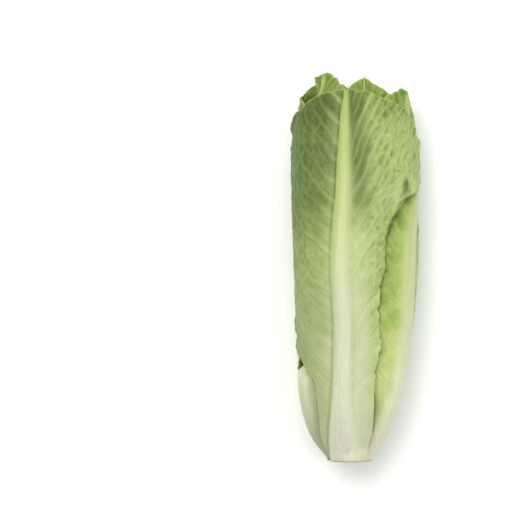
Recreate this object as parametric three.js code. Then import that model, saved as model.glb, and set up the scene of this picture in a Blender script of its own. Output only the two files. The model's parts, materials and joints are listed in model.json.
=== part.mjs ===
// Romaine lettuce heart, lying on its side as picked and trimmed.
//
// The head is a short tapering stem (the core), cut flat at the butt, with nineteen leaves set on it in a
// 137.5 degree spiral. Each leaf is one piece: a thick midrib that is widest where it clasps the stem, and a thin
// blade on both sides of it. Older leaves wrap the younger ones, so the leaves are nested shells.
//
// Frame: millimetres. +Y runs from the cut butt to the leaf tips, +Z is up, and the surface it rests on is z = 0.
// Along the head, s is the height above the cut butt. Around it, an angle of 0 is straight up and +90 is towards +X.
import * as THREE from "three";

// ---- driving dimensions, in mm and degrees ----
const HEAD_LENGTH = 240; // cut butt to the longest tip
const GOLDEN_ANGLE = 137.5; // from one leaf to the next younger one, turning towards -X
const BLADE = 0.9; // thickness of a leaf blade
const CORE_CLEARANCE = 0.3; // between the stem and a leaf's foot
const LEAST_GAP = 0.75; // between neighbouring leaves
const RIB_PROUD = 0.7; // how much of the outermost leaf's rib stands out of the head's outline
const CENTRE_X = 0.1; // moves the head so that its box is centred on the origin
const CENTRE_Y = HEAD_LENGTH / 2;

// Half the head's width at each height.
const HALF_WIDTH = [
  [0, 12.6], [4, 14.8], [10, 18.6], [20, 24.2], [32, 28.6], [46, 31.6], [60, 33.2], [75, 34.6], [94, 36.4],
  [118, 37.6], [160, 38.0], [195, 38.0], [207, 37.2], [220, 34.4], [230, 30.8], [240, 25.0], [250, 18.0],
];
const AXIS_X = [[0, -4.0], [40, -2.6], [80, -0.8], [120, 0.2], [250, 0.4]]; // the head's axis, side to side
const AXIS_Z = [[0, 27.5], [40, 29.4], [80, 30.8], [120, 31.2], [180, 31.2], [215, 30.6], [250, 29.5]]; // and its height
// Radius of the stem, and of the free space above its growing tip.
const STEM = [[0, 8.7], [8, 8.5], [20, 7.5], [32, 6.2], [44, 4.6], [54, 3.0], [62, 1.5], [66, 0.6]];
const STEM_LENGTH = 66;
const INNER = [[0, 8.7], [8, 8.5], [20, 7.5], [32, 6.2], [44, 4.6], [54, 3.0], [62, 1.7], [70, 1.5], [250, 2.2]];

// Midrib of the outermost leaf: extra thickness and half width, against the share of the leaf's length.
const RIB_THICK = [[0, 3.7], [0.06, 4.7], [0.16, 5.4], [0.3, 4.8], [0.55, 3.3], [0.75, 2.1], [0.9, 1.1], [1, 0.4]];
const RIB_HALF = [[0, 11.0], [0.05, 10.4], [0.18, 7.6], [0.35, 7.0], [0.55, 6.4], [0.75, 4.9], [0.87, 3.6], [1, 1.4]];
// Half width of a blade as a share of its widest, against the share of the height of its shoulder.
const BLADE_HALF = [[0, 0.0], [0.12, 0.1], [0.25, 0.38], [0.42, 0.66], [0.65, 0.9], [0.85, 1.0], [1, 1.0]];

// One row for each leaf, oldest and outermost first: foot, tip and shoulder heights, widest half width, foot half width.
const LEAVES = [
  { foot: 0.0, tip: 231, drop: 46, wide: 66, clasp: 11.6 },
  { foot: 0.0, tip: 238, drop: 48, wide: 67, clasp: 11.4 },
  { foot: 0.0, tip: 231, drop: 46, wide: 64, clasp: 11.0 },
  { foot: 1.5, tip: 240, drop: 52, wide: 64, clasp: 10.4 },
  { foot: 3.5, tip: 233, drop: 46, wide: 62, clasp: 10.0 },
  { foot: 5.5, tip: 237, drop: 50, wide: 60, clasp: 9.7 },
  { foot: 8.0, tip: 229, drop: 44, wide: 56, clasp: 9.4 },
  { foot: 10.5, tip: 232, drop: 46, wide: 53, clasp: 9.1 },
  { foot: 13.0, tip: 224, drop: 42, wide: 49, clasp: 8.8 },
  { foot: 16.0, tip: 221, drop: 42, wide: 45, clasp: 8.4 },
  { foot: 19.0, tip: 213, drop: 40, wide: 41, clasp: 8.0 },
  { foot: 22.0, tip: 206, drop: 38, wide: 37, clasp: 7.5 },
  { foot: 25.5, tip: 196, drop: 36, wide: 33, clasp: 7.0 },
  { foot: 29.0, tip: 186, drop: 34, wide: 29, clasp: 6.4 },
  { foot: 33.0, tip: 173, drop: 30, wide: 25, clasp: 5.8 },
  { foot: 37.0, tip: 158, drop: 27, wide: 21, clasp: 5.2 },
  { foot: 41.5, tip: 141, drop: 24, wide: 17.5, clasp: 4.5 },
  { foot: 46.5, tip: 122, drop: 20, wide: 14, clasp: 3.8 },
  { foot: 52.0, tip: 102, drop: 16, wide: 10.5, clasp: 3.0 },
];
const N = LEAVES.length;
// Bearing of the outermost leaf, and of the third, which has turned aside under it from its place in the spiral.
const BEARINGS = { 0: -12, 2: 60 };
// Drift of a rib's bearing with height, in degrees, for the two leaves that face up.
const DRIFT = { 0: [[0, 3.5], [80, 3.0], [125, -2.0], [200, 1.0], [240, 2.0]], 2: [[0, -3], [100, -3], [130, -1], [162, 9], [200, 16], [240, 18]] };
// Half angles of the outermost leaf's two margins, where they don't follow the usual outline.
const OUTER_RIGHT = [[0, 50], [12, 46], [30, 38], [53, 34], [72, 37.5], [94, 34], [106, 36], [122, 42], [140, 43], [152, 50], [159, 58], [163, 67], [168, 83], [174, 96], [182, 100]];
const OUTER_LEFT = [[0, 52], [12, 47], [30, 36], [47, 35], [60, 52], [72, 78], [90, 93], [120, 100], [182, 101]];

// ---- small functions ----
const clamp = (x, a = 0, b = 1) => Math.min(b, Math.max(a, x));
const smooth = (x) => { const t = clamp(x); return t * t * (3 - 2 * t); };
const wrap = (a) => a - 360 * Math.round(a / 360);
const rad = (a) => (a * Math.PI) / 180;
const deg = (a) => (a * 180) / Math.PI;

// Smooth curve through a table that never overshoots its points.
function curve(table, x) {
  const n = table.length;
  if (x <= table[0][0]) return table[0][1];
  if (x >= table[n - 1][0]) return table[n - 1][1];
  let i = 0;
  while (x > table[i + 1][0]) i++;
  const slope = (k) => (table[k + 1][1] - table[k][1]) / (table[k + 1][0] - table[k][0]);
  const tangent = (k) => {
    if (k === 0 || k === n - 1) return k === 0 ? slope(0) : slope(n - 2);
    const a = slope(k - 1), b = slope(k);
    return a * b <= 0 ? 0 : (2 * a * b) / (a + b);
  };
  const w = table[i + 1][0] - table[i][0], t = (x - table[i][0]) / w;
  return (
    (1 + 2 * t) * (1 - t) * (1 - t) * table[i][1] + t * (1 - t) * (1 - t) * w * tangent(i) +
    t * t * (3 - 2 * t) * table[i + 1][1] + t * t * (t - 1) * w * tangent(i + 1)
  );
}

// ---- the head's outer shape: distance from its axis at an angle and a height ----
function envelope(a, s) {
  const w = curve(HALF_WIDTH, s), up = w * (1 - 0.1 * smooth((s - 8) / 60)), down = w * (1 - 0.03 * smooth((s - 8) / 60));
  const sn = Math.sin(rad(a)), cs = Math.cos(rad(a)), p = 2.2;
  const flat = Math.pow(Math.pow(Math.abs(sn) / w, p) + Math.pow(Math.abs(cs) / (cs > 0 ? up : down), p), -1 / p);
  return flat * (1 + 0.014 * smooth(s / 50) * (Math.sin(rad(2 * a + 63 + 1.1 * s)) + Math.sin(rad(3 * a - 2 * s + 29))));
}
// The same, flattened where the head rests on the surface.
function flattened(r, a, s) {
  const cs = Math.cos(rad(a));
  if (cs > -0.2) return r;
  const floor = (curve(AXIS_Z, s) + 0.2) / -cs, k = 2.5, h = Math.max(k - Math.abs(r - floor), 0) / k;
  return Math.min(r, floor) - (h * h * k) / 4;
}

// ---- one leaf's outline and thickness ----
const share = (n) => 1 - 0.047 * n; // a leaf's usual distance from the axis, beside the outermost one's
const nominal = (n, s) => curve(INNER, s) + (curve(HALF_WIDTH, s) * 0.96 - curve(INNER, s)) * share(n);
const bearing = (n, s) => (BEARINGS[n] ?? BEARINGS[0] - GOLDEN_ANGLE * n) + (DRIFT[n] ? curve(DRIFT[n], s) : 0);

function halfAngle(n, side, s) {
  const L = LEAVES[n], shoulder = L.tip - L.drop, t = clamp((s - L.foot) / (shoulder - L.foot));
  if (n === 0) return curve(side > 0 ? OUTER_RIGHT : OUTER_LEFT, s);
  const w = L.clasp * (1 - smooth((s - L.foot) / 60)) + 0.5 * L.clasp * smooth((s - L.foot) / 60);
  const mm = w + (L.wide - 0.5 * L.clasp) * curve(BLADE_HALF, t);
  const most = 112 + 2.1 * n; // a margin never wraps further round than this
  return most * Math.tanh(deg(mm / nominal(n, s)) / most);
}
// Height of the leaf's upper edge, u being -1 and 1 at its two margins.
const upperEdge = (n, u) => LEAVES[n].tip - LEAVES[n].drop * (1 - Math.sqrt(Math.max(0, 1 - 0.96 * u * u))) / (1 - Math.sqrt(0.04));

function rib(n, s) {
  const L = LEAVES[n], t = clamp((s - L.foot) / (L.tip - L.foot)), k = 1 - 0.032 * n;
  const foot = L.foot > 1 ? 0.15 + 0.85 * smooth((s - L.foot) / 12) : 1; // a foot that isn't cut thins into the stem
  return { thick: curve(RIB_THICK, t) * k * foot, half: curve(RIB_HALF, t) * k };
}
function thickness(n, d, s) {
  const { thick, half } = rib(n, s), x = Math.abs(d) / half;
  return BLADE + (x < 1 ? thick * Math.pow(1 - x * x, 1.3) : 0);
}
function room(n, d, s) { // what the leaf takes up under the next older one: its rib, spread wider
  const { thick, half } = rib(n, s), x = Math.abs(d) / (half * 2.6);
  return BLADE + (x < 1 ? thick * (1 - x * x) ** 2 : 0);
}
// 1 where leaf n is, fading to 0 past its margins.
function presence(n, a, s) {
  const L = LEAVES[n], near = nominal(n, s), off = wrap(a - bearing(n, s)), side = off < 0 ? -1 : 1;
  const low = 1 - smooth((L.foot - s) / 8);
  if (low <= 0) return 0;
  const half = halfAngle(n, side, Math.min(s, L.tip - L.drop)), fade = Math.min(deg((4.5 + 6.5 * smooth((s - 20) / 60)) / near), 28);
  const across = 1 - smooth((Math.abs(off) - half - 3) / fade);
  if (across <= 0) return 0;
  return low * across * (1 - smooth((s - upperEdge(n, clamp(Math.abs(off) / half)) - 4) / 22));
}

// Inner radius of leaf n: the younger leaves' thicknesses and the gaps between them, counted from the stem out.
function innerRadius(n, a, s) {
  let all = 0, weight = 0, under = 0, count = 0, proud = 0, open = 1;
  for (let m = 0; m < N; m++) {
    const w = m === n ? 1 : presence(m, a, s);
    if (w <= 0) continue;
    const d = rad(wrap(a - bearing(m, s))) * nominal(m, s), takes = room(m, d, s);
    all += w * takes; weight += w;
    proud += RIB_PROUD * open * w * (takes - BLADE); // the rib of whichever leaf is outermost here stands out
    open *= 1 - w;
    if (m > n) { under += w * takes; count += w; }
  }
  const start = curve(INNER, s) + CORE_CLEARANCE;
  const slack = (flattened(envelope(a, s) + proud, a, s) - start - all) / Math.max(weight, 1) - LEAST_GAP;
  const gap = LEAST_GAP + 0.5 * (slack + Math.sqrt(slack * slack + 0.16)); // never under the least gap
  return start + gap * (1 + count) + under;
}

function place(r, a, s, out) {
  const z = curve(AXIS_Z, s) + r * Math.cos(rad(a));
  out.push(curve(AXIS_X, s) + r * Math.sin(rad(a)) - CENTRE_X, s - CENTRE_Y, Math.max(z, 0));
}

// A leaf as a closed shell: a grid over its outer face, the same grid over its inner face, and a strip round its edge.
function leafGeometry(n) {
  const L = LEAVES[n], nr = n < 8 ? 2 : 1; // columns over each half of the rib
  const nb = n < 5 ? 6 : n < 13 ? 5 : n < 16 ? 4 : 3, nv = n < 5 ? 15 : n < 9 ? 13 : n < 13 ? 12 : n < 16 ? 9 : 7;
  const cols = [];
  for (let i = -(nr + nb); i <= nr + nb; i++) cols.push(i);
  const outer = [], inner = [];
  for (let j = 0; j <= nv; j++) {
    const v = j / nv, along = v * (0.6 + 0.4 * v);
    for (const i of cols) {
      const side = i < 0 ? -1 : 1, k = Math.abs(i), u0 = k <= nr ? (0.06 * k) / nr : 0.06 + (0.94 * (k - nr)) / nb;
      const s = L.foot + along * (upperEdge(n, u0) - L.foot);
      const half = halfAngle(n, side, Math.min(s, L.tip - L.drop)), near = nominal(n, s);
      const ribAngle = Math.min(deg((rib(n, s).half * 1.03) / near), 0.55 * half);
      const off = k <= nr ? (ribAngle * k) / nr : ribAngle + ((half - ribAngle) * (k - nr)) / nb;
      const a = bearing(n, s) + side * off, r = innerRadius(n, a, s), t = thickness(n, rad(off) * near, s);
      place(r, a, s, inner);
      place(r + t, a, s, outer);
    }
  }
  return shell(outer, inner, cols.length, nv + 1);
}

function shell(outer, inner, nu, nv) {
  const count = nu * nv, index = [], o = (i, j) => j * nu + i, p = (i, j) => count + j * nu + i;
  for (let j = 0; j < nv - 1; j++)
    for (let i = 0; i < nu - 1; i++) {
      index.push(o(i, j), o(i, j + 1), o(i + 1, j + 1), o(i, j), o(i + 1, j + 1), o(i + 1, j));
      index.push(p(i, j), p(i + 1, j + 1), p(i, j + 1), p(i, j), p(i + 1, j), p(i + 1, j + 1));
    }
  for (let i = 0; i < nu - 1; i++) {
    index.push(o(i, 0), o(i + 1, 0), p(i + 1, 0), o(i, 0), p(i + 1, 0), p(i, 0));
    index.push(o(i, nv - 1), p(i + 1, nv - 1), o(i + 1, nv - 1), o(i, nv - 1), p(i, nv - 1), p(i + 1, nv - 1));
  }
  for (let j = 0; j < nv - 1; j++) {
    index.push(o(0, j), p(0, j), p(0, j + 1), o(0, j), p(0, j + 1), o(0, j + 1));
    index.push(o(nu - 1, j), p(nu - 1, j + 1), p(nu - 1, j), o(nu - 1, j), o(nu - 1, j + 1), p(nu - 1, j + 1));
  }
  const g = new THREE.BufferGeometry();
  g.setAttribute("position", new THREE.Float32BufferAttribute([...outer, ...inner], 3));
  for (let i = 0; i < index.length; i += 3) [index[i + 1], index[i + 2]] = [index[i + 2], index[i + 1]];
  g.setIndex(index);
  g.computeVertexNormals();
  return g;
}

// The stem: a lathe round its own axis, bent with the head's.
function stemGeometry() {
  const profile = [new THREE.Vector2(0, 0), new THREE.Vector2(curve(STEM, 0) - 0.6, 0)];
  for (const s of [0.6, 6, 13, 20, 28, 36, 44, 52, 59, 64]) profile.push(new THREE.Vector2(curve(STEM, s), s));
  profile.push(new THREE.Vector2(0, STEM_LENGTH));
  const g = new THREE.LatheGeometry(profile, 24), p = g.getAttribute("position");
  for (let i = 0; i < p.count; i++) {
    const x = p.getX(i), s = p.getY(i), z = p.getZ(i);
    p.setXYZ(i, curve(AXIS_X, s) + x - CENTRE_X, s - CENTRE_Y, curve(AXIS_Z, s) - z);
  }
  // Putting the lathe's axis along the head keeps its handedness: x stays, its y becomes s, its z turns over.
  const idx = g.getIndex().array.slice();
  for (let i = 0; i < idx.length; i += 3) [idx[i + 1], idx[i + 2]] = [idx[i + 2], idx[i + 1]];
  g.setIndex(new THREE.BufferAttribute(idx, 1));
  g.computeVertexNormals();
  return g;
}

// ---- the head ----
const heart = new THREE.Group();
const stem = new THREE.Mesh(stemGeometry(), new THREE.MeshStandardMaterial({ color: 0xe4dfb8, roughness: 0.6, metalness: 0 }));
stem.name = "stem_core";
heart.add(stem);
for (let n = 0; n < N; n++) {
  const young = n / (N - 1), colour = new THREE.Color().setRGB(0.42 + 0.3 * young, 0.5 + 0.24 * young, 0.2 + 0.16 * young);
  const mesh = new THREE.Mesh(leafGeometry(n), new THREE.MeshStandardMaterial({ color: colour, roughness: 0.5, metalness: 0 }));
  mesh.name = "leaf_" + String(n + 1).padStart(2, "0");
  heart.add(mesh);
}

export default heart;
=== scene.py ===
# Romaine heart lying on its side: the fine surfaces and finishes of its stem and nineteen leaves.
import bpy, json, math
import numpy as np
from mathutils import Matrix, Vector

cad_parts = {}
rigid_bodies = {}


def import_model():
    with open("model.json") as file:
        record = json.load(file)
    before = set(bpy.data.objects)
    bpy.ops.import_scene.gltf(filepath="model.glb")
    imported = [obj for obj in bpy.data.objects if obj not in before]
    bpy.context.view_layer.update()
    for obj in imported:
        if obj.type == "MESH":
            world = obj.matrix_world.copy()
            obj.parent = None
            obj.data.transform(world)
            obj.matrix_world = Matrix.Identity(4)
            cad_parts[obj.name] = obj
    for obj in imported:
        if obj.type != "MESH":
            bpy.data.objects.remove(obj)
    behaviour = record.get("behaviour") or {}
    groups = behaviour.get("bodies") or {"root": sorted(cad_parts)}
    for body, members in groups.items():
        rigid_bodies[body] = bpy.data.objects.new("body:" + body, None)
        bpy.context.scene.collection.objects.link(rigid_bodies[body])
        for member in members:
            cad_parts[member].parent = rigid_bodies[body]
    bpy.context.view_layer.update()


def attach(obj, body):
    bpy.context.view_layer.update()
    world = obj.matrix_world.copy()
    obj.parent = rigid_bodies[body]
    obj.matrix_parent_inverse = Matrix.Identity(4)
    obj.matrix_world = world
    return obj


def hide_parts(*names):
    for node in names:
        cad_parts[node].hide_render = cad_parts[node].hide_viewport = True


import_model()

# ------------------------------------------------------------------ camera and light
MM = 0.001
FRAME_WIDTH = 0.3185      # what the picture takes in across, at the height of the heart's widest part
CAMERA_UP = 2.2          # how far the camera is above that height
CAMERA_X, CAMERA_Y = -0.0616, 0.0075
WIDEST_Z = 0.031

cam_data = bpy.data.cameras.new("camera")
cam_data.sensor_width = 36.0
cam_data.lens = 36.0 * CAMERA_UP / FRAME_WIDTH
cam_data.clip_end = 20.0
cam = bpy.data.objects.new("camera", cam_data)
cam.location = (CAMERA_X, CAMERA_Y, WIDEST_Z + CAMERA_UP)
cam.rotation_euler = (0.0, 0.0, 0.0)
bpy.context.scene.collection.objects.link(cam)
bpy.context.scene.camera = cam


def area_light(name, at, look, size, watts, colour=(1, 1, 1)):
    d = bpy.data.lights.new(name, "AREA")
    d.shape, d.size, d.size_y = "RECTANGLE", size[0], size[1]
    d.energy, d.color = watts, colour
    o = bpy.data.objects.new(name, d)
    o.location = at
    o.rotation_euler = (Vector(look) - Vector(at)).to_track_quat("-Z", "Y").to_euler()
    bpy.context.scene.collection.objects.link(o)
    return o


area_light("key", (-0.38, 0.42, 1.42), (0.0, 0.0, 0.03), (0.9, 0.9), 14.4, (1.0, 0.988, 0.968))
area_light("fill", (1.0, -0.1, 0.9), (0.0, 0.0, 0.03), (0.9, 0.9), 5.0, (0.97, 0.985, 1.0))
area_light("top", (0.1, 0.9, 1.2), (0.0, 0.0, 0.03), (0.9, 0.6), 3.0)

world = bpy.data.worlds.new("studio")
world.use_nodes = True
bg = world.node_tree.nodes["Background"]
bg.inputs["Color"].default_value = (0.97, 0.985, 1.0, 1.0)
bg.inputs["Strength"].default_value = 0.57
bpy.context.scene.world = world
bpy.context.scene.view_settings.view_transform = "Standard"
bpy.context.scene.view_settings.look = "None"

# ------------------------------------------------------------------ the head's layering, as in the solids
GOLDEN_ANGLE, BLADE, CORE_CLEARANCE, LEAST_GAP, RIB_PROUD = 137.5, 0.9, 0.3, 0.75, 0.7
CENTRE_X, CENTRE_Y = 0.1, 120.0
HALF_WIDTH = [[0, 12.6], [4, 14.8], [10, 18.6], [20, 24.2], [32, 28.6], [46, 31.6], [60, 33.2], [75, 34.6], [94, 36.4],
              [118, 37.6], [160, 38.0], [195, 38.0], [207, 37.2], [220, 34.4], [230, 30.8], [240, 25.0], [250, 18.0]]
AXIS_X = [[0, -4.0], [40, -2.6], [80, -0.8], [120, 0.2], [250, 0.4]]
AXIS_Z = [[0, 27.5], [40, 29.4], [80, 30.8], [120, 31.2], [180, 31.2], [215, 30.6], [250, 29.5]]
STEM = [[0, 8.7], [8, 8.5], [20, 7.5], [32, 6.2], [44, 4.6], [54, 3.0], [62, 1.5], [66, 0.6]]
STEM_LENGTH = 66
INNER = [[0, 8.7], [8, 8.5], [20, 7.5], [32, 6.2], [44, 4.6], [54, 3.0], [62, 1.7], [70, 1.5], [250, 2.2]]
RIB_THICK = [[0, 3.7], [0.06, 4.7], [0.16, 5.4], [0.3, 4.8], [0.55, 3.3], [0.75, 2.1], [0.9, 1.1], [1, 0.4]]
RIB_HALF = [[0, 11.0], [0.05, 10.4], [0.18, 7.6], [0.35, 7.0], [0.55, 6.4], [0.75, 4.9], [0.87, 3.6], [1, 1.4]]
BLADE_HALF = [[0, 0.0], [0.12, 0.1], [0.25, 0.38], [0.42, 0.66], [0.65, 0.9], [0.85, 1.0], [1, 1.0]]
LEAVES = [  # foot, tip, drop, widest half width, foot half width
    (0.0, 231, 46, 66, 11.6), (0.0, 238, 48, 67, 11.4), (0.0, 231, 46, 64, 11.0), (1.5, 240, 52, 64, 10.4),
    (3.5, 233, 46, 62, 10.0), (5.5, 237, 50, 60, 9.7), (8.0, 229, 44, 56, 9.4), (10.5, 232, 46, 53, 9.1),
    (13.0, 224, 42, 49, 8.8), (16.0, 221, 42, 45, 8.4), (19.0, 213, 40, 41, 8.0), (22.0, 206, 38, 37, 7.5),
    (25.5, 196, 36, 33, 7.0), (29.0, 186, 34, 29, 6.4), (33.0, 173, 30, 25, 5.8), (37.0, 158, 27, 21, 5.2),
    (41.5, 141, 24, 17.5, 4.5), (46.5, 122, 20, 14, 3.8), (52.0, 102, 16, 10.5, 3.0)]
N = len(LEAVES)
BEARINGS = {0: -12.0, 2: 60.0}
DRIFT = {0: [[0, 3.5], [80, 3.0], [125, -2.0], [200, 1.0], [240, 2.0]],
         2: [[0, -3], [100, -3], [130, -1], [162, 9], [200, 16], [240, 18]]}
OUTER_RIGHT = [[0, 50], [12, 46], [30, 38], [53, 34], [72, 37.5], [94, 34], [106, 36], [122, 42], [140, 43], [152, 50],
               [159, 58], [163, 67], [168, 83], [174, 96], [182, 100]]
OUTER_LEFT = [[0, 52], [12, 47], [30, 36], [47, 35], [60, 52], [72, 78], [90, 93], [120, 100], [182, 101]]


def smooth(x):
    t = np.clip(x, 0.0, 1.0)
    return t * t * (3 - 2 * t)


def wrap(a):
    return a - 360.0 * np.round(a / 360.0)


rad, deg = np.radians, np.degrees


def curve(table, x):
    t = np.asarray(table, float)
    xs, ys = t[:, 0], t[:, 1]
    sl = np.diff(ys) / np.diff(xs)
    tan = np.empty(len(xs))
    tan[0], tan[-1] = sl[0], sl[-1]
    for k in range(1, len(xs) - 1):
        p = sl[k - 1] * sl[k]
        tan[k] = 0.0 if p <= 0 else 2 * p / (sl[k - 1] + sl[k])
    x = np.clip(np.asarray(x, float), xs[0], xs[-1])
    i = np.clip(np.searchsorted(xs, x, side="left") - 1, 0, len(xs) - 2)
    w = xs[i + 1] - xs[i]
    u = (x - xs[i]) / w
    return ((1 + 2 * u) * (1 - u) ** 2 * ys[i] + u * (1 - u) ** 2 * w * tan[i]
            + u * u * (3 - 2 * u) * ys[i + 1] + u * u * (u - 1) * w * tan[i + 1])


def envelope(a, s):
    w = curve(HALF_WIDTH, s)
    k = smooth((s - 8) / 60)
    up, down = w * (1 - 0.1 * k), w * (1 - 0.03 * k)
    sn, cs, p = np.sin(rad(a)), np.cos(rad(a)), 2.2
    flat = ((np.abs(sn) / w) ** p + (np.abs(cs) / np.where(cs > 0, up, down)) ** p) ** (-1 / p)
    return flat * (1 + 0.014 * smooth(s / 50) * (np.sin(rad(2 * a + 63 + 1.1 * s)) + np.sin(rad(3 * a - 2 * s + 29))))


def flattened(r, a, s):
    cs = np.cos(rad(a))
    floor = (curve(AXIS_Z, s) + 0.2) / np.maximum(-cs, 0.2)
    k = 2.5
    h = np.maximum(k - np.abs(r - floor), 0) / k
    return np.where(cs > -0.2, r, np.minimum(r, floor) - h * h * k / 4)


def nominal(n, s):
    i = curve(INNER, s)
    return i + (curve(HALF_WIDTH, s) * 0.96 - i) * (1 - 0.047 * n)


def bearing(n, s):
    b = BEARINGS.get(n, BEARINGS[0] - GOLDEN_ANGLE * n)
    return b + (curve(DRIFT[n], s) if n in DRIFT else 0.0)


def half_angle(n, side, s):
    foot, tip, drop, wide, clasp = LEAVES[n]
    if n == 0:
        return np.where(side > 0, curve(OUTER_RIGHT, s), curve(OUTER_LEFT, s))
    t = np.clip((s - foot) / (tip - drop - foot), 0, 1)
    k = smooth((s - foot) / 60)
    mm = clasp * (1 - k) + 0.5 * clasp * k + (wide - 0.5 * clasp) * curve(BLADE_HALF, t)
    most = 112 + 2.1 * n
    return most * np.tanh(deg(mm / nominal(n, s)) / most)


def upper_edge(n, u):
    foot, tip, drop, wide, clasp = LEAVES[n]
    return tip - drop * (1 - np.sqrt(np.maximum(0, 1 - 0.96 * u * u))) / (1 - math.sqrt(0.04))


def rib(n, s):
    foot, tip, drop, wide, clasp = LEAVES[n]
    t = np.clip((s - foot) / (tip - foot), 0, 1)
    k = 1 - 0.032 * n
    thin = 0.15 + 0.85 * smooth((s - foot) / 12) if foot > 1 else 1.0
    return curve(RIB_THICK, t) * k * thin, curve(RIB_HALF, t) * k


def room(n, d, s):
    thick, half = rib(n, s)
    x = np.minimum(np.abs(d) / (half * 2.6), 1)
    return BLADE + thick * (1 - x * x) ** 2


def presence(n, a, s):
    foot, tip, drop, wide, clasp = LEAVES[n]
    near = nominal(n, s)
    off = wrap(a - bearing(n, s))
    low = 1 - smooth((foot - s) / 8)
    half = half_angle(n, np.where(off < 0, -1, 1), np.minimum(s, tip - drop))
    fade = np.minimum(deg((4.5 + 6.5 * smooth((s - 20) / 60)) / near), 28)
    across = 1 - smooth((np.abs(off) - half - 3) / fade)
    return low * across * (1 - smooth((s - upper_edge(n, np.clip(np.abs(off) / half, 0, 1)) - 4) / 22))


def layers(n, a, s):
    """Inner radius of leaf n, the gap below it, and how far it is open to the outside (1) or covered (0)."""
    total = np.zeros_like(a); weight = np.zeros_like(a); under = np.zeros_like(a); count = np.zeros_like(a)
    proud = np.zeros_like(a); uncovered = np.ones_like(a); open_n = np.ones_like(a)
    for m in range(N):
        w = np.ones_like(a) if m == n else presence(m, a, s)
        if m < n:
            open_n = open_n * (1 - w)
        if not np.any(w > 0):
            continue
        takes = room(m, rad(wrap(a - bearing(m, s))) * nominal(m, s), s)
        total += w * takes; weight += w
        proud += RIB_PROUD * uncovered * w * (takes - BLADE)
        uncovered = uncovered * (1 - w)
        if m > n:
            under += w * takes; count += w
    start = curve(INNER, s) + CORE_CLEARANCE
    slack = (flattened(envelope(a, s) + proud, a, s) - start - total) / np.maximum(weight, 1) - LEAST_GAP
    gap = LEAST_GAP + 0.5 * (slack + np.sqrt(slack * slack + 0.16))
    return start + gap * (1 + count) + under, gap, open_n


# ------------------------------------------------------------------ noise, seeded by its arguments
def hash2(ix, iy, seed):
    h = (ix.astype(np.int64) * 374761393 + iy.astype(np.int64) * 668265263 + seed * 974634777) & 0xFFFFFFFF
    h = ((h ^ (h >> 13)) * 1274126177) & 0xFFFFFFFF
    h = ((h ^ (h >> 15)) * 668265263) & 0xFFFFFFFF
    return (h ^ (h >> 16)) / 4294967295.0


def noise(x, y, seed):
    x, y = np.broadcast_arrays(np.asarray(x, float), np.asarray(y, float))
    ix, iy = np.floor(x), np.floor(y)
    fx, fy = x - ix, y - iy
    ux, uy = fx ** 3 * (fx * (fx * 6 - 15) + 10), fy ** 3 * (fy * (fy * 6 - 15) + 10)
    out = 0.0
    for dx in (0, 1):
        for dy in (0, 1):
            g = hash2(ix + dx, iy + dy, seed) * 2 * math.pi
            dot = np.cos(g) * (fx - dx) + np.sin(g) * (fy - dy)
            out = out + dot * (ux if dx else 1 - ux) * (uy if dy else 1 - uy)
    return out * 1.5      # about -1 to 1


def cells(x, y, seed):
    """Distance to the nearest border between cells, and a number for each cell."""
    ix, iy = np.floor(x), np.floor(y)
    f1 = np.full(x.shape, 9.0); f2 = np.full(x.shape, 9.0); tag = np.zeros(x.shape)
    for dx in (-1, 0, 1):
        for dy in (-1, 0, 1):
            cx, cy = ix + dx, iy + dy
            px = cx + 0.15 + 0.7 * hash2(cx, cy, seed)
            py = cy + 0.15 + 0.7 * hash2(cx, cy, seed + 1)
            d = np.sqrt((x - px) ** 2 + (y - py) ** 2)
            t = hash2(cx, cy, seed + 2)
            nearer = d < f1
            f2 = np.where(nearer, f1, np.minimum(f2, d))
            tag = np.where(nearer, t, tag)
            f1 = np.where(nearer, d, f1)
    return f2 - f1, tag


# ------------------------------------------------------------------ meshes
def add_mesh(name, co_mm, quads, attrs, material, node, tris=None):
    me = bpy.data.meshes.new(name)
    co = np.ascontiguousarray(co_mm * MM, dtype=np.float32)
    idx = quads.ravel()
    starts = np.arange(len(quads)) * 4
    if tris is not None and len(tris):
        starts = np.concatenate([starts, len(idx) + np.arange(len(tris)) * 3])
        idx = np.concatenate([idx, tris.ravel()])
    me.vertices.add(len(co)); me.vertices.foreach_set("co", co.ravel())
    me.loops.add(len(idx)); me.loops.foreach_set("vertex_index", idx.astype(np.int32))
    me.polygons.add(len(starts)); me.polygons.foreach_set("loop_start", starts.astype(np.int32))
    me.update(calc_edges=True)
    me.validate()
    me.polygons.foreach_set("use_smooth", np.ones(len(me.polygons), bool))
    for key, val in attrs.items():
        at = me.attributes.new(key, "FLOAT", "POINT")
        at.data.foreach_set("value", np.ascontiguousarray(val, dtype=np.float32).ravel())
    me.update()
    ob = bpy.data.objects.new(name, me)
    bpy.context.scene.collection.objects.link(ob)
    me.materials.append(material)
    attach(ob, "root"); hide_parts(node)
    return ob


def shell_quads(nu, nv):
    """Quads of a closed shell: outer grid, inner grid, and the strip round the edge, all facing out."""
    n = nu * nv
    j, i = np.meshgrid(np.arange(nv - 1), np.arange(nu - 1), indexing="ij")
    o = j * nu + i
    outer = np.stack([o, o + 1, o + nu + 1, o + nu], -1).reshape(-1, 4)
    inner = np.stack([o + n, o + n + nu, o + n + nu + 1, o + n + 1], -1).reshape(-1, 4)
    i = np.arange(nu - 1); b = i; t = (nv - 1) * nu + i
    low = np.stack([b, b + n, b + n + 1, b + 1], -1)
    top = np.stack([t, t + 1, t + n + 1, t + n], -1)
    j = np.arange(nv - 1); l = j * nu; r = j * nu + nu - 1
    left = np.stack([l, l + nu, l + n + nu, l + n], -1)
    right = np.stack([r, r + n, r + n + nu, r + nu], -1)
    return np.concatenate([outer, inner, low, top, left, right])


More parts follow.
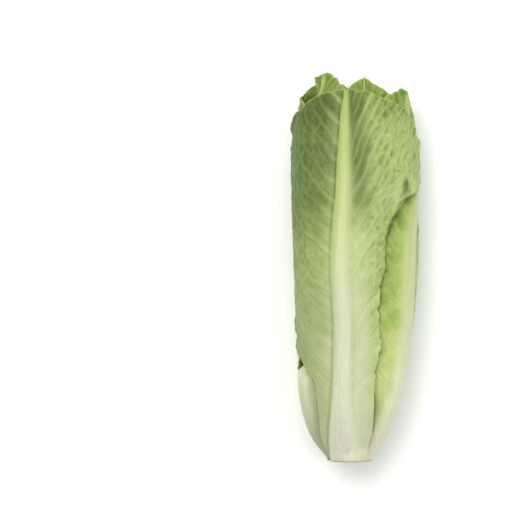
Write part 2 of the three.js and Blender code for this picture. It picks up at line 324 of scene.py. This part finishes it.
def fray(n, side, s):
    f = 0.9 * noise(s / 11, side * 3 + n, 21) + 0.95 * noise(s / 4.6, side * 5 + n, 22) + 0.5 * noise(s / 2.4, side * 7 + n, 23)
    return f * smooth((s - LEAVES[n][0] - 25) / 40)


def past_margin(m, a, s):
    """Distance in mm beyond leaf m's side margin, and whether that leaf is there at this height."""
    near = nominal(m, s)
    off = wrap(a - bearing(m, s))
    side = np.where(off < 0, -1.0, 1.0)
    half = half_angle(m, side, np.minimum(s, LEAVES[m][1] - LEAVES[m][2]))
    return rad(np.abs(off) - half) * near - fray(m, side, s), s < LEAVES[m][1] - LEAVES[m][2]


def leaf_arrays(n, step):
    foot, tip, drop, wide, clasp = LEAVES[n]
    nu = max(6, int(round(wide / step)))
    nv = max(12, int(round((tip - foot) / step)))
    w = np.linspace(-1, 1, 2 * nu + 1)
    v = np.linspace(0, 1, nv + 1)
    W, V = np.meshgrid(w, v)
    side = np.where(W < 0, -1.0, 1.0)
    aw = np.abs(W)
    # the tip's outline: lobed and a little torn
    ragged = 2.6 * noise(W * wide / 17, 0.37 + n, 11) + 1.5 * noise(W * wide / 6.0, 1.7 + n, 12) + 0.7 * noise(W * wide / 2.4, 0.2 + n, 13)
    top = upper_edge(n, aw) + ragged * (0.45 + 0.55 * (1 - aw)) - 1.0
    s = foot + (V * (0.93 + 0.07 * V)) * (top - foot)
    sc = np.minimum(s, tip - drop)
    near = nominal(n, s)
    half = half_angle(n, side, sc)
    half = half + deg(fray(n, side, s) / near)
    off = aw * half
    a = bearing(n, s) + side * off
    d = side * rad(off) * near
    r, gap, open_n = layers(n, a, s)
    edge = np.minimum(rad(half - off) * near, (top - s) * 0.9)
    edge = np.maximum(edge, 0)

    # midrib: a steep left flank and a soft right one where it faces up
    thick, rhalf = rib(n, s)
    skew = 1.0 if n == 0 else 0.5 if n != 2 else 0.0
    dr = d - 2.7 * smooth((s - 30) / 40) * (1 - smooth((s - 190) / 40)) if n == 2 else d + (curve([[0, 0.6], [60, 1.6], [100, 1.9], [140, 1.8], [165, 1.3], [200, 1.9], [235, 1.8]], s) if n == 0 else 0.0)
    hl, hr = rhalf * (1.0 - 0.04 * skew), rhalf * (1.0 + 0.10 * skew)
    if n == 0:
        hr = hr * curve([[0, 1.0], [90, 1.06], [130, 1.2], [170, 1.42], [240, 1.45]], s)
    if n == 2:
        hl, hr = hl * 1.3, hr * 1.2
    x = np.where(dr < 0, -dr / hl, dr / hr)
    xr = np.minimum(x, 1)
    ribz = thick * (1 - xr * xr) ** np.where(dr < 0, 1.3 - 0.4 * skew, 1.3 + 0.4 * skew)
    groove = np.exp(-((dr + hl * 1.08) / 1.3) ** 2) * 0.35 * skew + np.exp(-((dr - hr * 1.05) / 1.8) ** 2) * 0.12
    flute = 0.15 * np.cos(2 * np.pi * (dr / 3.1 + 0.25 * noise(s / 40, n + 0.5, 31))) * (1 - xr ** 2) * smooth((s - foot) / 20)
    flute = flute + 0.22 * noise(dr / 4.0, s / 46, 33 + n) * (1 - xr ** 2)
    lo_l, w_l = (0.86, 0.22) if n != 2 else (0.2, 1.0)
    rib_mask = 1 - smooth((x - np.where(dr < 0, lo_l, 0.30)) / np.where(dr < 0, w_l, 0.85))
    beside = 0.40 if n == 0 else 0.25
    rib_mask = np.maximum(rib_mask, beside * (1 - smooth((np.abs(dr) - rhalf - 3) / 11)) * (1 - smooth((s - 115) / 45)) * np.where(dr > 0, 1.0, 0.35))

    # side veins: they leave the rib, rise, and curve up towards the margin
    dl = np.maximum(np.abs(d) - rhalf * 0.8, 0)
    if n == 0:
        rise = np.where(d > 0, 1.05 * dl + 9.0 * (1 - np.exp(-dl / 12)), 0.9 * dl - 5.5 * (1 - np.exp(-dl / 18)))
    else:
        rise = 1.0 * dl + 4.0 * (1 - np.exp(-dl / 12))
    rise = rise * (1 + 0.55 * smooth((s - 0.6 * tip) / (0.4 * tip)))
    q = s - rise + 2.6 * noise(d / 16, s / 26, 41 + n) + 0.9 * noise(d / 5.5, s / 9, 42 + n)
    period = 11.5
    ph = q / period + 0.28 * noise(q / 26, side * 4 + n, 43)
    dist = np.abs(ph - np.round(ph)) * period
    strong = 0.55 + 0.45 * hash2(np.round(ph), side + 2.0 + 0 * ph, 50 + n)
    width = 1.15 + 0.5 * smooth((s - 130) / 30) - 0.6 * np.clip(dl / 55, 0, 1)
    vein = strong * np.exp(-(dist / width) ** 2) * np.exp(-dl / 60) * smooth(dl / 3)
    ph2 = ph + 0.5
    dist2 = np.abs(ph2 - np.round(ph2)) * period
    vein2 = 0.6 * np.exp(-(dist2 / 0.75) ** 2) * smooth((dl - 9) / 16)
    # the net between them, and the puckers it frames
    slant = s - 0.42 * rise + 1.5 * noise(d / 9, s / 13, 46 + n)
    border, tag = cells(slant / 6.4 + 3.1 * n + 0.3 * noise(s / 5, d / 5, 45), dl / 5.0 + 40 + side * 7 + 0.3 * noise(q / 7, dl / 7, 44), 60 + 5 * n)
    border2, tag2 = cells(slant / 3.5 + 9 * n, dl / 2.9 + 90 + side * 9, 160 + 5 * n)
    netv = np.exp(-(border / 0.13) ** 2)
    pit = smooth(border / 0.55)
    pit2 = smooth(border2 / 0.6)
    grown = smooth((s - foot - 35) / 110)
    reach = smooth((dl - 2) / 22)
    rough = (0.12 + 0.88 * grown) * (0.15 + 0.85 * reach)
    calm = np.where(dr < 0, 0.6, 1.0) if n == 0 else 1.0
    relief = calm * rough * ((1 - pit * (0.3 + 0.7 * tag)) * 1.0 + 0.42 * (1 - pit2)) + 0.62 * np.maximum(vein, vein2 * 0.8) * (0.45 + 0.55 * grown)

    waves = (0.9 * noise(d / 19, s / 33, 71 + n) + 0.5 * noise(d / 9, s / 15, 72 + n)) * (0.35 + 0.65 * grown) * smooth(dl / 8)
    curl = (1 - smooth(edge / 6.0)) * smooth((s - foot - 30) / 50)
    ruffle = curl * (0.9 + 1.5 * noise(s / 7.5 + 0.15 * edge, side * 2 + n + W * 3, 73) + 0.6 * noise(s / 3.2, side * 6 + n + W * 8, 74))
    disp = relief + waves + ruffle * 1.15
    # a covered leaf stays within its own gap; an open one may stand out
    up = open_n ** 2 * 5.0 + (1 - open_n ** 2) * 0.36 * gap
    down = 0.40 * gap
    cs = np.cos(rad(a))
    clear = (curve(AXIS_Z, s) + (r + BLADE + ribz) * cs - 0.05) / np.maximum(-cs, 0.15)
    up = np.where(cs < -0.15, np.minimum(up, np.maximum(clear, 0.02)), up)
    disp = np.where(disp > 0, up * np.tanh(disp / np.maximum(up, 1e-6)), -down * np.tanh(-disp / down))
    disp = disp * smooth((s - foot) / 14)

    blade = 0.36 + (BLADE - 0.36) * smooth(edge / 6.0)
    mid_low = r                                                   # inner face
    outer = mid_low + BLADE + ribz + flute - groove * (ribz < thick) + disp
    hug = (gap - 0.12) * (1 - smooth((s - foot) / 11)) * (1 if n < 4 else 0.6)
    inner = mid_low + disp + (BLADE - blade) - hug
    return dict(n=n, nu=2 * nu + 1, nv=nv + 1, a=a, s=s, d=d, outer=outer, inner=inner, rib=rib_mask, q=q, dl=dl,
                vein=np.clip(np.maximum(np.maximum(vein, vein2 * 0.8), netv * 0.35 * rough), 0, 1), pit=pit * rough * (0.4 + 0.6 * tag),
                edge=edge, open=open_n, side=side, grown=grown, foot=foot, dr=dr, savoy=rough, slant=slant)


def place(r, a, s, low=0.0):
    x = curve(AXIS_X, s) + r * np.sin(rad(a)) - CENTRE_X
    z = np.maximum(curve(AXIS_Z, s) + r * np.cos(rad(a)), low)
    return np.stack([x, s - CENTRE_Y, z], -1).reshape(-1, 3)


# ------------------------------------------------------------------ materials
def lin(c, tone=1.0):
    out = []
    for v in c:
        v = v / 255.0
        out.append(tone * (v / 12.92 if v <= 0.04045 else ((v + 0.055) / 1.055) ** 2.4))
    return (*out, 1.0)


class Nodes:
    def __init__(self, name, tone=1.0):
        self.tone = tone
        self.mat = bpy.data.materials.new(name)
        self.mat.use_nodes = True
        self.t = self.mat.node_tree
        self.t.nodes.clear()
        self.coord = self.t.nodes.new("ShaderNodeTexCoord").outputs["Object"]

    def link(self, a, sock):
        if isinstance(a, bpy.types.NodeSocket):
            self.t.links.new(a, sock)
        else:
            sock.default_value = a

    def attr(self, name):
        n = self.t.nodes.new("ShaderNodeAttribute")
        n.attribute_name = name
        return n.outputs["Fac"]

    def math(self, op, a, b=0.0, clamp=False):
        n = self.t.nodes.new("ShaderNodeMath")
        n.operation, n.use_clamp = op, clamp
        self.link(a, n.inputs[0]); self.link(b, n.inputs[1])
        return n.outputs[0]

    def madd(self, a, k, c, clamp=False):
        n = self.t.nodes.new("ShaderNodeMath")
        n.operation, n.use_clamp = "MULTIPLY_ADD", clamp
        self.link(a, n.inputs[0]); self.link(k, n.inputs[1]); self.link(c, n.inputs[2])
        return n.outputs[0]

    def ramp(self, fac, stops, smooth_=False):
        n = self.t.nodes.new("ShaderNodeValToRGB")
        cr = n.color_ramp
        cr.interpolation = "EASE" if smooth_ else "LINEAR"
        while len(cr.elements) < len(stops):
            cr.elements.new(0.5)
        for e, (p, c) in zip(cr.elements, stops):
            e.position = p
            e.color = c if len(c) == 4 else lin(c, self.tone)
        self.link(fac, n.inputs[0])
        return n.outputs["Color"]

    def mix(self, fac, a, b, mode="MIX"):
        n = self.t.nodes.new("ShaderNodeMix")
        n.data_type, n.blend_type = "RGBA", mode
        n.clamp_factor = True
        self.link(fac, n.inputs[0]); self.link(a, n.inputs[6]); self.link(b, n.inputs[7])
        return n.outputs[2]

    def grey(self, v):
        n = self.t.nodes.new("ShaderNodeCombineColor")
        for i in range(3):
            self.link(v, n.inputs[i])
        return n.outputs[0]

    def noise(self, scale, detail=2.0, rough=0.5, vec=None, stretch=None):
        n = self.t.nodes.new("ShaderNodeTexNoise")
        n.inputs["Scale"].default_value = scale
        n.inputs["Detail"].default_value = detail
        n.inputs["Roughness"].default_value = rough
        v = vec if vec is not None else self.coord
        if stretch:
            m = self.t.nodes.new("ShaderNodeMapping")
            m.inputs["Scale"].default_value = stretch
            self.t.links.new(v, m.inputs["Vector"])
            v = m.outputs["Vector"]
        self.t.links.new(v, n.inputs["Vector"])
        return n.outputs["Fac"]

    def finish(self, colour, rough, height, dist, sss, radius, scale, spec=0.4):
        b = self.t.nodes.new("ShaderNodeBsdfPrincipled")
        o = self.t.nodes.new("ShaderNodeOutputMaterial")
        self.link(colour, b.inputs["Base Color"])
        self.link(rough, b.inputs["Roughness"])
        b.inputs["Subsurface Weight"].default_value = sss
        b.inputs["Subsurface Radius"].default_value = radius
        b.inputs["Subsurface Scale"].default_value = scale
        b.inputs["Specular IOR Level"].default_value = spec
        b.inputs["IOR"].default_value = 1.42
        bump = self.t.nodes.new("ShaderNodeBump")
        bump.inputs["Strength"].default_value = 1.0
        bump.inputs["Distance"].default_value = dist
        self.link(height, bump.inputs["Height"])
        self.t.links.new(bump.outputs["Normal"], b.inputs["Normal"])
        self.t.links.new(b.outputs[0], o.inputs[0])
        return self.mat


def blend(c0, c1, t):
    return tuple(c0[i] * (1 - t) + c1[i] * t for i in range(3))


def leaf_material(n):
    g = Nodes("leaf_%02d_blade_and_rib" % (n + 1), 0.86)
    young = min(n / 12.0, 1.0) ** 0.8
    vivid = 1.0 if n == 2 else 0.35 if n in (1, 3, 4, 5) else 0.0

    def c(old, painted_light, heart):
        return blend(blend(old, painted_light, vivid), heart, young)

    h = g.attr("height"); ribm = g.attr("rib"); lat = g.attr("lat"); q = g.attr("veinq")
    vein = g.attr("vein"); pit = g.attr("pit"); edge = g.attr("edge"); cut = g.attr("cut")
    big = g.noise(34, 3, 0.55); midn = g.noise(120, 3, 0.6); fine = g.noise(900, 2, 0.5)

    pale = g.ramp(h, [(0.0, c((222, 226, 190), (222, 226, 180), (232, 230, 178))), (0.12, c((209, 214, 170), (200, 212, 140), (230, 228, 164))),
                      (0.28, c((203, 210, 158), (186, 203, 116), (226, 224, 146))), (0.45, c((198, 208, 148), (168, 194, 98), (219, 220, 134))),
                      (0.62, c((186, 202, 130), (156, 182, 88), (208, 214, 122))), (0.80, c((170, 190, 112), (158, 184, 92), (194, 206, 108))),
                      (1.0, c((152, 174, 92), (140, 170, 78), (198, 210, 108)))])
    green = g.ramp(h, [(0.0, c((198, 205, 158), (190, 204, 136), (220, 220, 150))), (0.15, c((184, 195, 138), (168, 192, 98), (214, 216, 134))),
                       (0.3, c((170, 186, 116), (146, 182, 66), (206, 210, 116))), (0.5, c((158, 177, 100), (120, 156, 50), (192, 202, 100))),
                       (0.65, c((138, 160, 80), (104, 138, 42), (172, 190, 84))), (0.8, c((112, 136, 60), (110, 144, 52), (178, 196, 86))),
                       (1.0, c((92, 118, 46), (94, 128, 42), (160, 182, 76)))])
    f = g.madd(big, 1.7, -0.55)
    f = g.madd(g.math("SUBTRACT", midn, 0.5), 0.9, f)
    f = g.madd(pit, 0.55, f)
    f = g.madd(g.math("SUBTRACT", 1.0, g.math("MULTIPLY", edge, 0.07, True)), 0.42, f)
    # fine lines run along the veins: noise drawn out in the veins' own directions
    along = g.t.nodes.new("ShaderNodeCombineXYZ")
    g.link(q, along.inputs[0]); g.link(lat, along.inputs[1])
    lines = g.noise(1.0, 2, 0.55, vec=along.outputs[0], stretch=(0.62, 0.11, 1.0))
    bands = g.noise(1.0, 3, 0.6, vec=along.outputs[0], stretch=(0.24, 0.05, 1.0))
    shade_and_deep_green = g.attr("shade_and_deep_green"); savoy = g.attr("savoy")
    if n not in (0, 2):      # pale where it clasps the base
        f0 = g.madd(h, 5.0, -1.0, True)
    f = g.madd(g.math("SUBTRACT", bands, 0.5), 0.9, f)
    if n == 2:
        f = g.madd(g.math("SUBTRACT", g.noise(85, 2, 0.5), 0.5), 3.4, f)
    if n not in (0, 2):
        f = g.math("MULTIPLY", f, f0)
    f = g.madd(shade_and_deep_green, 0.35, f, True)
    blade = g.mix(f, pale, green)
    # small dimples, darker green: partly the leaf's mottling, partly painted shade in these hollows
    spots = g.t.nodes.new("ShaderNodeCombineXYZ")
    g.link(g.attr("slant"), spots.inputs[0]); g.link(lat, spots.inputs[1])
    vor = g.t.nodes.new("ShaderNodeTexVoronoi")
    vm = g.t.nodes.new("ShaderNodeMapping")
    vm.inputs["Scale"].default_value = (0.23, 0.27, 1.0)
    g.t.links.new(spots.outputs[0], vm.inputs["Vector"]); g.t.links.new(vm.outputs["Vector"], vor.inputs["Vector"])
    vor.inputs["Scale"].default_value = 1.0
    pick = g.t.nodes.new("ShaderNodeSeparateColor")
    g.t.links.new(vor.outputs["Color"], pick.inputs[0])
    dim = g.math("MULTIPLY", g.madd(vor.outputs["Distance"], -3.6, 1.45, True), g.madd(pick.outputs[0], 3.0, -1.5, True))
    dim = g.math("MULTIPLY", dim, savoy)
    blade = g.mix(g.math("MULTIPLY", dim, 0.6), blade, lin(c((112, 138, 62), (96, 134, 44), (150, 172, 70)), 0.8))
    # pale side veins and net
    veincol = g.ramp(h, [(0.0, c((226, 230, 196), (222, 228, 180), (236, 234, 186))), (0.4, c((214, 222, 168), (204, 218, 142), (232, 230, 164))),
                         (0.75, c((196, 210, 138), (188, 206, 118), (216, 220, 138))), (1.0, c((172, 190, 108), (168, 190, 100), (196, 206, 116)))])
    blade = g.mix(g.math("MULTIPLY", vein, g.madd(h, 1.5, -0.38, True)), blade, veincol)
    # fine parallel lines along the veins
    calm = g.math("SUBTRACT", 1.0, ribm)
    stri = g.math("MULTIPLY", g.madd(g.math("SUBTRACT", lines, 0.5), 3.4, 0.5, True), calm)
    blade = g.mix(1.0, blade, g.grey(g.madd(stri, 0.13, 0.925)), "MULTIPLY")
    thin = g.noise(1.0, 2, 0.5, vec=along.outputs[0], stretch=(0.42, 0.035, 1.0))
    thin = g.math("MULTIPLY", g.madd(thin, 9.0, -5.3, True), calm)
    blade = g.mix(g.math("MULTIPLY", thin, 0.34), blade, g.mix(1.0, blade, (0.52, 0.60, 0.38, 1.0), "MULTIPLY"))
    blade = g.mix(1.0, blade, g.grey(g.madd(fine, 0.16, 0.92)), "MULTIPLY")
    # painted shade, partly deeper green: the blade darkened and greener where the leaf's shade attribute is high
    blade = g.mix(g.math("MULTIPLY", shade_and_deep_green, 0.62, True), blade, g.mix(1.0, blade, (0.44, 0.50, 0.36, 1.0), "MULTIPLY"))
    # painted highlight: a light yellow-green line along the leaf's margins
    painted_rim_highlight = g.madd(edge, -0.9, 1.0, True)
    blade = g.mix(g.math("MULTIPLY", painted_rim_highlight, 0.5), blade, lin(c((196, 212, 118), (186, 208, 100), (214, 220, 130)), 0.85))
    # midrib
    ribc = g.ramp(h, [(0.0, c((232, 232, 206), (232, 232, 204), (238, 234, 200))), (0.2, c((226, 229, 198), (226, 229, 196), (238, 236, 194))),
                      (0.42, c((222, 227, 190), (208, 216, 166), (236, 234, 184))), (0.58, c((211, 220, 160), (204, 214, 158), (230, 230, 168))),
                      (0.74, c((200, 212, 140), (200, 210, 150), (222, 224, 152))), (0.9, c((184, 200, 118), (190, 204, 126), (208, 214, 132))),
                      (1.0, c((164, 184, 98), (170, 188, 106), (190, 202, 112)))])
    streak = g.noise(1.0, 3, 0.6, stretch=(620.0, 14.0, 620.0))
    ribc = g.mix(1.0, ribc, g.grey(g.madd(streak, 0.22, 0.775)), "MULTIPLY")
    lane = g.math("MULTIPLY", g.attr("lane"), g.madd(h, 1.3, -0.25, True))
    ribc = g.mix(lane, ribc, lin(c((190, 206, 112), (190, 208, 122), (206, 214, 126)), 0.74))
    col = g.mix(ribm, blade, ribc)
    # painted shade along the margins of the leaves that cover this one
    col = g.mix(g.math("MULTIPLY", g.attr("margin_shade"), 0.95), col, g.mix(1.0, col, (0.34, 0.40, 0.24, 1.0), "MULTIPLY"))
    # the cut face: browned
    stain = g.math("MULTIPLY", cut, g.madd(midn, 1.2, 0.25), True)
    col = g.mix(stain, col, lin((176, 128, 78)))
    col = g.mix(g.math("MULTIPLY", g.attr("inside"), 0.25), col, lin(c((198, 208, 140), (190, 204, 120), (224, 222, 150)), 0.76))
    if n == 3:      # painted shade: leaf_04's base darker and duller towards its foot, where its neighbours shade it
        col = g.mix(g.madd(h, -4.5, 1.1, True), col, g.mix(1.0, col, (0.60, 0.66, 0.58, 1.0), "MULTIPLY"))
    rough = g.madd(fine, 0.16, 0.36)
    hgt = g.madd(stri, 0.45, g.math("MULTIPLY", fine, 0.35))
    hgt = g.madd(g.math("MULTIPLY", streak, ribm), 0.9, hgt)
    hgt = g.madd(dim, -1.2, hgt)
    return g.finish(col, rough, hgt, 0.00035, 0.32, (1.0, 1.1, 0.35), 0.0014, 0.38)


def stem_material():
    g = Nodes("stem_cut_and_skin", 0.85)
    ring = g.attr("ring"); cut = g.attr("cut"); midn = g.noise(260, 4, 0.6); fine = g.noise(1100, 2, 0.5)
    skin = g.ramp(g.attr("height"), [(0.0, (228, 224, 190)), (0.12, (232, 229, 186)), (0.3, (226, 226, 160))])
    face = g.ramp(g.madd(midn, 0.16, g.math("SUBTRACT", ring, 0.08)),
                  [(0.0, (226, 214, 170)), (0.38, (220, 202, 152)), (0.55, (206, 178, 124)), (0.63, (176, 132, 84)),
                   (0.7, (210, 182, 128)), (0.86, (192, 152, 100)), (1.0, (146, 98, 58))])
    spots = g.math("GREATER_THAN", g.noise(420, 1, 0.4), 0.63)
    face = g.mix(g.math("MULTIPLY", spots, 0.35), face, lin((150, 104, 62)))
    col = g.mix(cut, skin, face)
    hgt = g.madd(midn, 0.7, g.math("MULTIPLY", fine, 0.4))
    return g.finish(col, g.madd(fine, 0.2, 0.4), hgt, 0.0004, 0.3, (1.0, 0.8, 0.4), 0.0015, 0.4)


# ------------------------------------------------------------------ stem
def build_stem():
    nu, face_rows, side_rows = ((96, 18, 90))
    th = np.linspace(0, 2 * np.pi, nu, endpoint=False)
    rows = []
    r0 = float(curve(STEM, 0.0))
    for k in range(1, face_rows + 1):                  # the cut face, a little hollow and uneven
        rr = (r0 - 0.5) * k / face_rows
        dish = 0.45 * (1 - (rr / r0) ** 2)
        ridge = 0.18 * np.exp(-((rr - r0 * 0.62) / 0.7) ** 2)
        rows.append((np.full(nu, rr), dish - ridge + 0.16 * noise(rr / 2.2 * np.cos(th), rr / 2.2 * np.sin(th), 301) + 0.0 * th, rr / r0, 1.0))
    for k in range(0, side_rows + 1):
        s = 0.45 + (STEM_LENGTH - 0.6 - 0.45) * k / side_rows
        rr = float(curve(STEM, s)) * (1 + 0.03 * np.cos(5 * th + s * 0.3)) + 0.12 * noise(th * 3, s / 4, 302) * min(1, s / 3)
        rows.append((rr, np.full(nu, s), 1.0, max(0.0, 1 - s / 1.2)))
    co, hgt, ring, cut = [], [], [], []

    def put(r, t, s):
        return (float(curve(AXIS_X, s)) + r * math.sin(t) - CENTRE_X, s - CENTRE_Y, float(curve(AXIS_Z, s)) + r * math.cos(t))

    co.append(put(0, 0, 0.5)); hgt.append(0); ring.append(0); cut.append(1)
    for rr, ss, rg, ct in rows:
        ax, az = curve(AXIS_X, ss), curve(AXIS_Z, ss)
        pts = np.stack([ax + rr * np.sin(th) - CENTRE_X, ss - CENTRE_Y, az + rr * np.cos(th)], -1)
        co.extend(pts.tolist()); hgt.extend((ss / 240).tolist()); ring.extend([rg] * nu); cut.extend([ct] * nu)
    co.append(put(0, 0, STEM_LENGTH)); hgt.append(0.3); ring.append(1); cut.append(0)
    R = len(rows)
    quads, tris = [], []
    for k in range(R - 1):
        for i in range(nu):
            i2 = (i + 1) % nu
            p, q_ = 1 + k * nu, 1 + (k + 1) * nu
            quads.append((p + i, p + i2, q_ + i2, q_ + i))
    for i in range(nu):
        i2 = (i + 1) % nu
        tris.append((0, 1 + i2, 1 + i))
        last = 1 + (R - 1) * nu
        tris.append((last + i, last + i2, len(co) - 1))
    co = np.array(co); quads = np.array(quads); tris = np.array(tris)
    return add_mesh("stem_core_fine", co, quads, dict(height=np.array(hgt), ring=np.array(ring), cut=np.array(cut)),
                    stem_material(), "stem_core", tris)


# ------------------------------------------------------------------ leaves
def build_leaf(n):
    step = 1.12 if n < 5 else 1.55 if n < 9 else 2.1 if n < 14 else 2.0
    L = leaf_arrays(n, step)
    co = np.concatenate([place(L["outer"], L["a"], L["s"]), place(L["inner"], L["a"], L["s"], 0.35)])
    quads = shell_quads(L["nu"], L["nv"])
    both = lambda v: np.concatenate([v.ravel(), v.ravel()])
    s, d = L["s"], L["d"]
    cut = (1 - smooth((s - L["foot"]) / 1.3)) if L["foot"] < 2 else 0 * s
    thick, rhalf = rib(n, s)
    lane = np.exp(-((L["dr"] + rhalf * 0.55) / (rhalf * 0.26)) ** 2)
    # deeper green beside the rib on its left and high on the leaf, with painted shade: a darker band in the groove
    # beside the rib, and on the outer leaf painted shade and painted light besides
    dr = L["dr"]
    shade_and_deep_green = np.where(dr < 0, np.exp(-((-dr - rhalf * 1.06) / 0.9) ** 2) * 0.6, 0.0) * (1.0 if n == 0 else 0.3)
    away = np.maximum(np.abs(dr) - rhalf, 0)
    if n == 0:
        q = L["q"]
        # painted shade, partly the deeper green of the leaf's top: the blade darker towards the top, left of the rib
        # and right beside it
        left = smooth((s - 128) / 42) * (0.75 + 0.25 * noise(s / 20, d / 14, 81))
        right = smooth((s - 138) / 30) * (1 - smooth((away - 5 - 5 * noise(q / 14, 0.5 + 0 * q, 82)) / 11))
        # painted shade over the left blade, darker towards its left side
        shade = 0.5 * smooth((-dr - 5) / 9) + 0.95 * left + 0.35 * smooth((-dr - 16) / 22)
        # painted light: the upper right of the blade lightened
        painted_light = 1.5 * smooth((away - 21) / 13) * smooth((s - 140) / 18) * (1 - smooth((s - 205) / 20))
        shade_and_deep_green = np.clip(shade_and_deep_green + np.where(dr < 0, shade, right * 1.1 - painted_light), -2, 1.3)
        # painted shade: a dark hollow painted high on the right of the outer leaf
        xm = place(L["outer"], L["a"], L["s"])[:, 0].reshape(s.shape)
        shade_and_deep_green = shade_and_deep_green + 2.8 * np.exp(-((xm - 30.5) / 2.6) ** 4 - ((s - 170 - 0.5 * (xm - 30.5)) / 5.0) ** 4)
    else:
        shade_and_deep_green = np.clip(shade_and_deep_green + 0.5 * smooth((s - 0.62 * LEAVES[n][1]) / 60) * np.exp(-away / 14) + (0.45 * smooth((away - 2) / 4) * np.exp(-((s - 118) / 40) ** 2) if n == 2 else 0.0), 0, 1)
    # painted shade: a dark line on this leaf just past the margins of the leaves that cover it
    margin_shade = np.zeros_like(s)
    for m in range(min(n, 3)):
        gone, there = past_margin(m, L["a"], s)
        margin_shade = np.maximum(margin_shade, np.where(there & (gone > -2.5), np.exp(-(np.maximum(gone, 0) / 0.8) ** 2), 0) * smooth((s - 12) / 20) * (1.0 if n == 2 else 0.3))
    if n == 2:      # the shade under the outer leaf's right margin, where it overhangs this leaf
        over = leaf_arrays(0, step)
        xo = place(over["outer"], over["a"], over["s"])[:, 0].reshape(over["s"].shape)[:, -3:].max(1)
        so = over["s"][:, -1]
        gone = place(L["outer"], L["a"], L["s"])[:, 0].reshape(s.shape) - np.interp(s, so, xo)
        line = np.where(gone > -4, np.exp(-(np.maximum(gone, 0) / (0.62 + 0.3 * noise(s / 9, 0 * s, 91))) ** 2), 0)
        line = line * (1 - smooth((s - 143) / 16)) * (0.75 + 0.5 * noise(s / 12, 0 * s + 0.5, 92))
        margin_shade = np.maximum(margin_shade * (1 - 0.6 * smooth((s - 143) / 16)), np.clip(line, 0, 0.9) * smooth((s - 12) / 20))
    inside = np.concatenate([np.zeros(s.size), np.ones(s.size)])
    attrs = dict(height=both(s / 240.0), rib=both(L["rib"]), lat=both(d), veinq=both(L["q"]), vein=both(L["vein"]),
                 pit=both(L["pit"]), savoy=both(L["savoy"]), edge=both(np.minimum(L["edge"], 20)), cut=both(cut), lane=both(lane), shade_and_deep_green=both(shade_and_deep_green), slant=both(L["slant"]), margin_shade=both(margin_shade), inside=inside)
    return add_mesh("leaf_%02d_fine" % (n + 1), co, quads, attrs, leaf_material(n), "leaf_%02d" % (n + 1))


build_stem()
for n in range(N):
    build_leaf(n)

# ------------------------------------------------------------------ floor
fm = Nodes("floor_paper")
f_fine = fm.noise(300, 2, 0.5)
floor_mat = fm.finish(fm.ramp(f_fine, [(0.0, (249, 249, 248)), (1.0, (253, 253, 252))]), 0.85, f_fine, 0.00005, 0.0, (1, 1, 1), 0.001, 0.2)
me = bpy.data.meshes.new("floor")
me.from_pydata([(-4, -4, -0.0001), (4, -4, -0.0001), (4, 4, -0.0001), (-4, 4, -0.0001)], [], [(0, 1, 2, 3)])
floor = bpy.data.objects.new("floor", me)
bpy.context.scene.collection.objects.link(floor)
me.materials.append(floor_mat)

tris = sum(len(p.vertices) - 2 for o in bpy.data.objects if o.type == "MESH" and o.name.endswith("_fine") for p in o.data.polygons)
print("fine triangles", tris)
